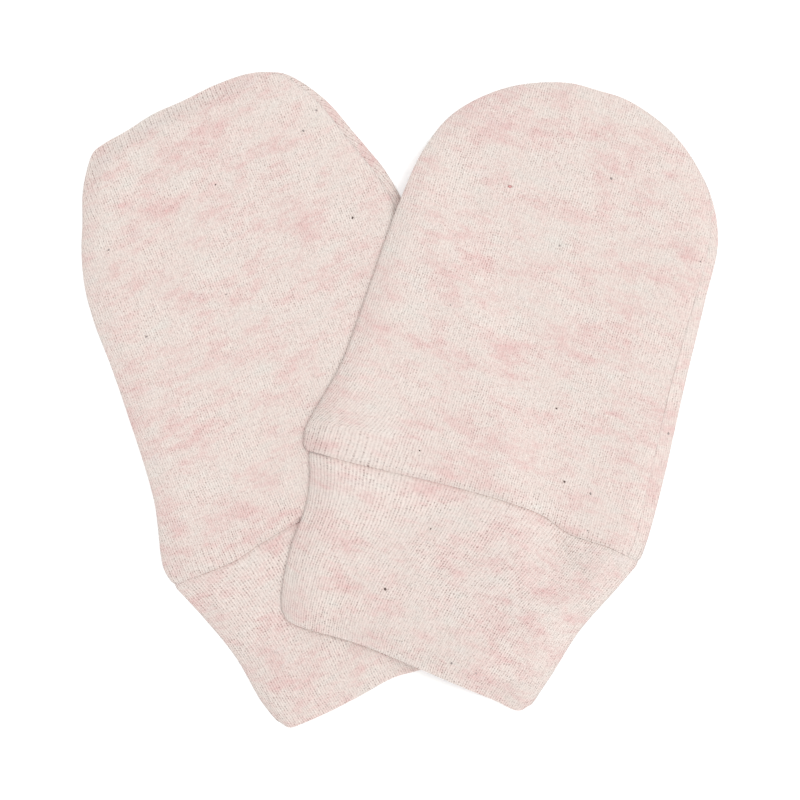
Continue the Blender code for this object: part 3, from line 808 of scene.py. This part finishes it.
class Cuff:
    """The tube of rib: rings from the cuff seam down to the hem's fold and up inside."""

    def __init__(self, shape):
        self.shape = shape
        self.hem = at_parts(shape.hem[:, :2], np.linspace(0.0, 1.0, 4 * CUFF_CELLS_ACROSS))
        self.length = abs(shape.hem[:, 1].mean())
        self.width = shape.seam[-1, 0] - shape.seam[0, 0]
        self.rows = self.all_rows()
        self.fixed, self.shares, self.rises, self.spreads = self.columns()

    def all_rows(self):
        """Part of the way to the hem, and depth into the rib, of every ring."""
        near = CUFF_SEAM_RUN / self.length
        last = 1 - RIB / 2 / self.length
        fine = np.linspace(0.0, near, CUFF_SEAM_CELLS, endpoint=False)
        coarse = np.linspace(near, last, CUFF_CELLS_ALONG - CUFF_SEAM_CELLS + 1)
        down = [(part, 0.0) for part in np.concatenate((fine, coarse))]
        fold = []
        for step in range(1, HEM_CELLS):
            angle = math.pi * step / HEM_CELLS
            part = last + math.sin(angle) * (1 - last)
            fold.append((part, RIB / 2 * (1 - math.cos(angle))))
        return down + fold + [(part, RIB) for part, _ in down[::-1]]

    def columns(self):
        """Round a ring, from the middle of its left fold over the top and back below: how
        far in from the left each point lies, as mm and as a share of the flat width; its
        rise from -1 under to 1 on top; its spread, 0 to 1 over the top and on to 2 below."""
        turn = np.linspace(0.0, math.pi / 2, NOSE_CELLS + 1)[:-1]
        back = turn[::-1]
        part = np.linspace(0.0, 1.0, CUFF_CELLS_ACROSS + 1)
        radius = CUFF_HEIGHT / 2
        nose = radius * (1 - np.cos(turn))
        fixed = np.concatenate((nose, np.full(len(part), radius), 2 * radius - nose[::-1]))
        share = np.concatenate((np.zeros(NOSE_CELLS), part, np.ones(NOSE_CELLS)))
        rise = np.concatenate((np.sin(turn), np.ones(len(part)), np.sin(back)))
        arc = radius * math.pi / 2
        flat = self.width - 2 * radius
        run = np.concatenate((radius * turn, arc + flat * part, 2 * arc + flat - radius * back))
        spread = run / run[-1]
        below = slice(-2, 0, -1)
        return (
            np.concatenate((fixed, fixed[below])),
            np.concatenate((share, share[below])),
            np.concatenate((rise, -rise[below])),
            np.concatenate((spread, 2 - spread[below])),
        )

    def ring(self, part, depth):
        """Points of one ring."""
        shape = self.shape
        left = at_parts(shape.left[:, :2], part)
        right = at_parts(shape.right[:, :2], part)
        width = np.linalg.norm(right - left)
        radius = CUFF_HEIGHT / 2
        inset = self.fixed + self.shares * (width - 2 * radius)
        share = (inset / width)[:, None]
        seam_left, seam_right = shape.seam[0, :2], shape.seam[-1, :2]
        on_seam = blend(seam_left, seam_right, share)
        on_seam[:, 1] = shape.seam_along(on_seam[:, 0]) - JOIN
        on_hem = at_parts(self.hem, share[:, 0])
        corners = (seam_left, seam_right, self.hem[0], self.hem[-1])
        spots = patch(on_seam, on_hem, left, right, corners, part, share)
        below = part * self.length
        on_top = (self.rises + 1) / 2
        dip = DIP * bell(below / DIP_REACH) * (0.5 + 0.5 * on_top)
        sunk = depth + dip * blend(1.0, DIP_INSIDE, depth / RIB)
        puff = HEM_PUFF * bell((self.length - below - HEM_PUFF_AT) / HEM_PUFF_REACH)
        sunk = sunk - puff * on_top
        outward = np.where(np.abs(self.rises) < 1, np.sqrt(1 - np.square(self.rises)), 0.0)
        side = np.where(inset < width / 2, 1.0, -1.0)
        across = (right - left) / width
        seam_was = shape.seam_along(spots[:, 0])
        spots = spots + (side * outward * sunk)[:, None] * across * (1.0, part)
        spots[:, 1] += (shape.seam_along(spots[:, 0]) - seam_was) * (1 - part)
        lift = shape.cuff_lift(spots, below)
        z = 2 * radius * on_top ** SAG - self.rises * sunk
        z += lift * np.square(self.rises) * (self.rises > 0)
        from_side = np.minimum(inset, width - inset)
        z *= 1 - CUFF_DROOP * bell(from_side / CUFF_DROOP_REACH)
        z *= 1 - HEM_DROOP * bell((self.length - below) / HEM_DROOP_REACH)
        return np.column_stack((spots, z))


def make_cuff(shape, material, cloth_start):
    """Closed shell of one cuff."""
    cuff = Cuff(shape)
    rings = np.array([cuff.ring(part, depth) for part, depth in cuff.rows])
    row_count, column_count = rings.shape[:2]
    points = rings.reshape(-1, 3)
    row = np.arange(row_count)[:, None]
    column = np.arange(column_count)[None, :]
    after = (row + 1) % row_count
    beside = (column + 1) % column_count
    faces = np.stack([
        (r * column_count + c).ravel()
        for r, c in ((row, column), (row, beside), (after, beside), (after, column))
    ], axis=1)

    middle = rings[:, CUFF_CELLS_ACROSS // 2 + NOSE_CELLS]
    down = np.concatenate(([0.0], np.cumsum(np.linalg.norm(np.diff(middle, axis=0), axis=1))))
    down = np.append(down, down[-1] + 1.0)
    spread = np.append(cuff.spreads, 2.0)
    lean = shape.mitten.rib_lean * ease(spread / LEAN_IN) * ease((1 - spread) / LEAN_OUT)
    corner_rows = np.stack((row, row, row + 1, row + 1), axis=-1)
    corner_columns = np.stack((column, column + 1, column + 1, column), axis=-1)
    corner_rows = np.broadcast_to(corner_rows, (row_count, column_count, 4)).reshape(-1, 4)
    corner_columns = np.broadcast_to(corner_columns, (row_count, column_count, 4)).reshape(-1, 4)
    from_hem = np.maximum(cuff.length - down[corner_rows], 0.0)
    around = spread[corner_columns] * cuff.width * RIB_SPREAD
    around = around - lean[corner_columns] * from_hem
    cloth_map = np.stack((around, -down[corner_rows]), axis=-1) + cloth_start

    outside = CUFF_CELLS_ALONG + HEM_CELLS
    place = np.where(
        corner_rows <= outside,
        corner_rows / outside,
        (corner_rows - outside) / (row_count - outside),
    )
    inside = np.minimum(corner_rows, np.roll(corner_rows, 2, axis=1)).min(axis=1) >= outside
    place = np.where(inside[:, None] & (corner_rows == outside), 0.0, place)
    beneath = corner_columns.min(axis=1) >= (column_count // 2)
    over = np.where(beneath[:, None], spread[corner_columns] - 1, spread[corner_columns])
    start, underside, tall = np.where(inside[:, None], CUFF_INNER, CUFF_OUTER).T
    low = start + underside * beneath
    bake_map = np.stack((
        MAP_SPAN[0] + np.ptp(MAP_SPAN) * over,
        low[:, None] + tall[:, None] * place,
    ), axis=-1)

    name = f"{shape.mitten.name}_cuff"
    opened = np.full(len(points), CUFF_STRETCH)
    placed = shape.placed(points)
    piece = new_piece(name, placed, faces, cloth_map, bake_map, opened, material)
    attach(piece, "root")
    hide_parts(f"{shape.mitten.name}_mitten_cuff")
    shown = faces[(corner_rows[:, 0] < outside)]
    round_way = 2 * cuff.width * MM
    return piece, (round_way, cuff.length * MM), area_of(points, shown)


class Tree:
    """A material's nodes, added by short calls."""

    def __init__(self, name):
        self.material = bpy.data.materials.new(name)
        self.material.use_nodes = True
        self.nodes = self.material.node_tree.nodes
        self.links = self.material.node_tree.links
        self.shader = self.nodes["Principled BSDF"]

    def shade(self, settings):
        """Values and fields for the shader's sockets, by their names."""
        for name, value in settings.items():
            self.plug(self.shader.inputs[name], value)

    def plug(self, socket, value):
        if isinstance(value, bpy.types.NodeSocket):
            self.links.new(value, socket)
        else:
            socket.default_value = value

    def math(self, operation, *values):
        node = self.nodes.new("ShaderNodeMath")
        node.operation = operation
        for socket, value in zip(node.inputs, values):
            self.plug(socket, value)
        return node.outputs[0]

    def vector_math(self, operation, first, second):
        node = self.nodes.new("ShaderNodeVectorMath")
        node.operation = operation
        self.plug(node.inputs[0], first)
        self.plug(node.inputs[1], second)
        return node.outputs[0]

    def scaled(self, vector, factor):
        node = self.nodes.new("ShaderNodeVectorMath")
        node.operation = "SCALE"
        self.plug(node.inputs[0], vector)
        self.plug(node.inputs["Scale"], factor)
        return node.outputs[0]

    def split(self, vector):
        node = self.nodes.new("ShaderNodeSeparateXYZ")
        self.plug(node.inputs[0], vector)
        return node.outputs[0], node.outputs[1]

    def noise(self, place, stretch, detail=2.0, roughness=0.5, colour=False):
        """Noise of about one swell for every stretch millimetres across and along."""
        node = self.nodes.new("ShaderNodeTexNoise")
        rate = tuple(1.0 / size for size in stretch) + (1.0,)
        self.plug(node.inputs["Vector"], self.vector_math("MULTIPLY", place, rate))
        node.inputs["Scale"].default_value = 1.0
        node.inputs["Detail"].default_value = detail
        node.inputs["Roughness"].default_value = roughness
        return node.outputs["Color" if colour else "Fac"]

    def chance(self, across, along):
        """One random number for each pair of whole numbers."""
        pair = self.nodes.new("ShaderNodeCombineXYZ")
        self.plug(pair.inputs[0], across)
        self.plug(pair.inputs[1], along)
        node = self.nodes.new("ShaderNodeTexWhiteNoise")
        node.noise_dimensions = "2D"
        self.plug(node.inputs["Vector"], pair.outputs[0])
        return node.outputs["Value"]

    def between(self, value, low, high, to_low=0.0, to_high=1.0):
        """A soft step from to_low to to_high as value goes from low to high."""
        node = self.nodes.new("ShaderNodeMapRange")
        node.interpolation_type = "SMOOTHSTEP"
        for socket, number in zip(node.inputs, (value, low, high, to_low, to_high)):
            self.plug(socket, number)
        return node.outputs[0]

    def ramp(self, value, stops):
        """Colour that follows value through stops of a place and a colour."""
        node = self.nodes.new("ShaderNodeValToRGB")
        self.plug(node.inputs[0], value)
        while len(node.color_ramp.elements) < len(stops):
            node.color_ramp.elements.new(0.5)
        for element, (position, colour) in zip(node.color_ramp.elements, stops):
            element.position = position
            element.color = colour
        return node.outputs[0]

    def mixed(self, share, first, second):
        node = self.nodes.new("ShaderNodeMix")
        node.data_type = "RGBA"
        self.plug(node.inputs["Factor"], share)
        self.plug(node.inputs[6], first)
        self.plug(node.inputs[7], second)
        return node.outputs[2]


def knit_material(name, gauge):
    """Melange knit: wales of small stitches with painted shade in their holes and gaps, and pink
    streaks along the courses.
    """
    tree = Tree(name)
    uv = tree.nodes.new("ShaderNodeUVMap")
    uv.uv_map = "Cloth"
    place = tree.scaled(uv.outputs[0], 1.0 / MM)

    drift = tree.noise(place, (9.0, 12.0), 1.0, colour=True)
    drift = tree.scaled(tree.vector_math("SUBTRACT", drift, (0.5, 0.5, 0.5)), 0.9)
    jitter = tree.noise(place, (0.9, 1.6), 1.0, colour=True)
    jitter = tree.scaled(tree.vector_math("SUBTRACT", jitter, (0.5, 0.5, 0.5)), 0.4)
    woven = tree.vector_math("ADD", tree.vector_math("ADD", place, drift), jitter)
    across, along = tree.split(woven)

    # Stitches: each wale is a ridge of slanting loops, with a small hole under each loop
    # in the gap beside it, and no two holes are alike
    wales = tree.math("DIVIDE", across, gauge.wale)
    side = tree.math("SUBTRACT", tree.math("FRACT", wales), 0.5)
    gap_number = tree.math("FLOOR", tree.math("ADD", wales, 0.5))
    odd = tree.math("MODULO", tree.math("ABSOLUTE", gap_number), 2.0)
    ridge = tree.math("COSINE", tree.math("MULTIPLY", side, 2 * math.pi))
    ridge = tree.math("MULTIPLY_ADD", ridge, 0.5, 0.5)
    lean = tree.math("MULTIPLY", tree.math("ABSOLUTE", side), 0.9)
    slip = tree.math("MULTIPLY", tree.chance(gap_number, 0.5), 0.55)
    loops = tree.math("ADD", tree.math("DIVIDE", along, gauge.course), lean)
    loops = tree.math("ADD", loops, slip)
    loop = tree.math("COSINE", tree.math("MULTIPLY", loops, 2 * math.pi))
    loop = tree.math("MULTIPLY_ADD", loop, 0.5, 0.5)
    gap = tree.math("POWER", tree.math("SUBTRACT", 1.0, ridge), 1.6)
    size = tree.math("POWER", tree.chance(gap_number, tree.math("FLOOR", loops)), 1.6)
    size = tree.math("MULTIPLY_ADD", size, 2.2, 0.15)
    hole = tree.math("MULTIPLY", gap, tree.math("SUBTRACT", 1.0, loop))
    hole = tree.math("MULTIPLY", hole, size)
    height = tree.math("MULTIPLY_ADD", hole, -0.3, ridge)

    # Melange: each course is a yarn whose colour changes along it
    pinkness = 0.5 - 0.5 * sum(share for _, share in MELANGE)
    for patches, share in MELANGE:
        pinkness = tree.math("MULTIPLY_ADD", tree.noise(place, patches, 1.0), share, pinkness)
    colour = tree.ramp(pinkness, ((0.14, CREAM), (0.48, BLUSH), (0.96, ROSE)))
    smoke = tree.noise(place, (8.0, 3.2), 2.0)
    fibre = tree.noise(place, (0.7, 0.5), 2.0, 0.7)
    smoky = tree.math("MULTIPLY", tree.between(smoke, 0.60, 0.76), 0.2)
    colour = tree.mixed(smoky, colour, GREY)

    # Painted shade in the holes and gaps between stitches: deeper where the cloth is stretched
    # open, most of all between its ribs, and of a strength that varies at random
    opened = tree.nodes.new("ShaderNodeAttribute")
    opened.attribute_name = "open"
    open_gap = tree.math("MULTIPLY_ADD", hole, 0.6, tree.math("MULTIPLY", gap, 0.4))
    stretched_gap_shade = tree.math("MULTIPLY", opened.outputs["Fac"], tree.math("MULTIPLY", open_gap, odd))
    contrast = tree.between(tree.noise(place, (11.0, 9.0), 2.0), 0.32, 0.68, 0.35, 1.3)
    dark = tree.math("MULTIPLY", gap, gauge.furrow)
    dark = tree.math("MULTIPLY_ADD", hole, gauge.pit, dark)
    # Mean of the painted shade, taken out before its strength varies
    usual = 0.2 * gauge.pit + 0.41 * gauge.furrow
    dark = tree.math("MULTIPLY", tree.math("SUBTRACT", dark, usual), contrast)
    dark = tree.math("MULTIPLY_ADD", stretched_gap_shade, 0.22, dark)
    # The yarn's own fine fibre grain, lighter and darker at random, is added to the painted shade
    dark = tree.math("MULTIPLY_ADD", fibre, -0.42, tree.math("ADD", dark, 0.21))
    # The painted shade in the gaps takes a warmer tint on pink yarn
    gap_shade_tint = tree.mixed(tree.between(pinkness, 0.3, 0.75), GAP_SHADE_PALE, GAP_SHADE_PINK)
    shade = tree.vector_math("SUBTRACT", (1.0, 1.0, 1.0), tree.scaled(gap_shade_tint, dark))
    colour = tree.vector_math("MULTIPLY", colour, shade)

    rough = tree.math("MULTIPLY_ADD", tree.math("MULTIPLY", ridge, fibre), -0.12, 0.97)
    bump = tree.nodes.new("ShaderNodeBump")
    bump.inputs["Strength"].default_value = 1.0
    bump.inputs["Distance"].default_value = gauge.relief * MM
    fuzz = tree.noise(place, (0.22, 0.3), 2.0)
    tree.plug(bump.inputs["Height"], tree.math("MULTIPLY_ADD", fuzz, 0.5, height))

    tree.shade({
        "Base Color": colour,
        "Roughness": rough,
        "Normal": bump.outputs[0],
        "Subsurface Weight": 0.25,
        "Subsurface Radius": (0.8, 0.8, 0.8),
        "Subsurface Scale": 0.9 * MM,
        "Sheen Weight": 0.18,
        "Sheen Roughness": 0.5,
        "Sheen Tint": SHEEN_TINT,
        "Specular IOR Level": 0.25,
    })
    return tree.material


def fleck_material(name, colour):
    """A stray coloured fibre, knitted in."""
    tree = Tree(name)
    place = tree.nodes.new("ShaderNodeTexCoord").outputs["Object"]
    place = tree.scaled(place, 1.0 / MM)
    worn = tree.between(tree.noise(place, (0.15, 0.15), 2.0), 0.3, 0.7, 0.75, 1.3)
    rough = tree.between(worn, 0.7, 1.3, 0.8, 0.95)
    tree.shade({"Base Color": tree.scaled(colour[:3], worn), "Roughness": rough})
    return tree.material


def make_flecks(shape, pieces, materials):
    """Stray fibres caught in the knit: small flat grains on the face and cuff."""
    tree = BVHTree.FromPolygons(
        [vertex.co for piece in pieces for vertex in piece.data.vertices],
        faces_of(pieces),
    )
    points = []
    faces = []
    shades = []
    chance = random.Random(shape.mitten.name)
    for fleck in shape.mitten.flecks:
        start = np.array([[fleck.across, fleck.along]])
        x, y = (turned(start, shape.mitten.lean) + shape.mitten.place)[0] * MM
        hit, normal, _, _ = tree.ray_cast((x, y, 1.0), (0.0, 0.0, -1.0))
        turn = chance.uniform(0.0, math.pi)
        half = fleck.length * FLECK_SHARE * MM
        long_way = np.array((math.cos(turn), math.sin(turn), 0.0)) * half
        short_way = np.array((-math.sin(turn), math.cos(turn), 0.0)) * half * FLECK_WIDTH
        first = len(points)
        middle = np.array(hit) + np.array(normal) * FLECK_OVER * MM
        up = np.array((0.0, 0.0, MM))
        points += [middle + up * FLECK_OVER, middle - up * FLECK_UNDER]
        for step in range(FLECK_CORNERS):
            angle = 2 * math.pi * step / FLECK_CORNERS
            reach = chance.uniform(0.8, 1.15)
            points.append(middle + reach * (
                math.cos(angle) * long_way + math.sin(angle) * short_way
            ))
        for step in range(FLECK_CORNERS):
            here = first + 2 + step
            ahead = first + 2 + (step + 1) % FLECK_CORNERS
            faces += [(first, here, ahead), (first + 1, ahead, here)]
            shades += [fleck.shade, fleck.shade]
    name = f"{shape.mitten.name}_flecks"
    mesh = bpy.data.meshes.new(name)
    mesh.from_pydata([tuple(point) for point in points], [], faces)
    order = sorted(materials)
    for shade in order:
        mesh.materials.append(materials[shade])
    mesh.polygons.foreach_set("material_index", [order.index(shade) for shade in shades])
    mesh.shade_smooth()
    piece = added(name, mesh)
    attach(piece, "root")
    return piece


def faces_of(pieces):
    """Faces of several meshes, numbered over all their vertices together."""
    found = []
    start = 0
    for piece in pieces:
        found += [[start + v for v in face.vertices] for face in piece.data.polygons]
        start += len(piece.data.vertices)
    return found


def make_mitten(shape, knit, rib, fleck_materials):
    """The pieces of one mitten: its two panels, its cuff and its stray fibres."""
    start = np.array(shape.mitten.cloth_start)
    face, face_flat, face_area = make_panel(shape, True, knit, start)
    back, back_flat, back_area = make_panel(shape, False, knit, start + CLOTH_APART)
    cuff, cuff_flat, cuff_area = make_cuff(shape, rib, start + 2 * CLOTH_APART)
    flecks = make_flecks(shape, (face, back, cuff), fleck_materials)


def make_floor():
    """Plain pale surface under the pair."""
    half = FLOOR_SIDE / 2
    mesh = bpy.data.meshes.new("floor")
    corners = [(-half, -half, 0.0), (half, -half, 0.0), (half, half, 0.0), (-half, half, 0.0)]
    mesh.from_pydata(corners, [], [(0, 1, 2, 3)])
    floor = added("floor", mesh)
    tree = Tree("floor_card")
    tree.shade({
        "Base Color": (0.96, 0.96, 0.96, 1.0),
        "Emission Color": WHITE,
        "Emission Strength": FLOOR_GLOW,
        "Roughness": 0.9,
        "Specular IOR Level": 0.1,
    })
    mesh.materials.append(tree.material)


def make_studio():
    """Soft light from all round, and a little more from above and from the right."""
    world = bpy.data.worlds.new("studio")
    world.use_nodes = True
    sky = world.node_tree.nodes["Background"]
    sky.inputs["Color"].default_value = WHITE
    sky.inputs["Strength"].default_value = SKY
    bpy.context.scene.world = world
    for lamp in LAMPS:
        light = bpy.data.lights.new(lamp.name, "AREA")
        light.shape = "SQUARE"
        light.size = lamp.size
        light.energy = lamp.power
        holder = added(lamp.name, light)
        holder.location = lamp.place
        holder.rotation_euler = (-holder.location).to_track_quat("-Z", "Y").to_euler()
    bpy.context.scene.view_settings.view_transform = "Standard"


def make_camera():
    """Straight down, with the finger ends away."""
    camera_data = bpy.data.cameras.new("camera")
    camera_data.lens = LENS
    camera_data.sensor_width = SENSOR
    camera_data.clip_end = CLIP_END
    camera = added("camera", camera_data)
    distance = VIEW_WIDTH * LENS / SENSOR
    camera.location = (VIEW_CENTRE[0], VIEW_CENTRE[1], VIEW_PLANE + distance)
    bpy.context.scene.camera = camera


def main():
    knit = knit_material("melange_knit", HAND_GAUGE)
    rib = knit_material("melange_rib", RIB_GAUGE)
    fleck_materials = {
        shade: fleck_material(f"fleck_{shade}", colour)
        for shade, colour in FLECK_COLOURS.items()
    }
    lower = Shape(LOWER)
    upper = Shape(UPPER, rests_on=lower)
    make_mitten(lower, knit, rib, fleck_materials)
    make_mitten(upper, knit, rib, fleck_materials)
    make_floor()
    make_studio()
    make_camera()


main()
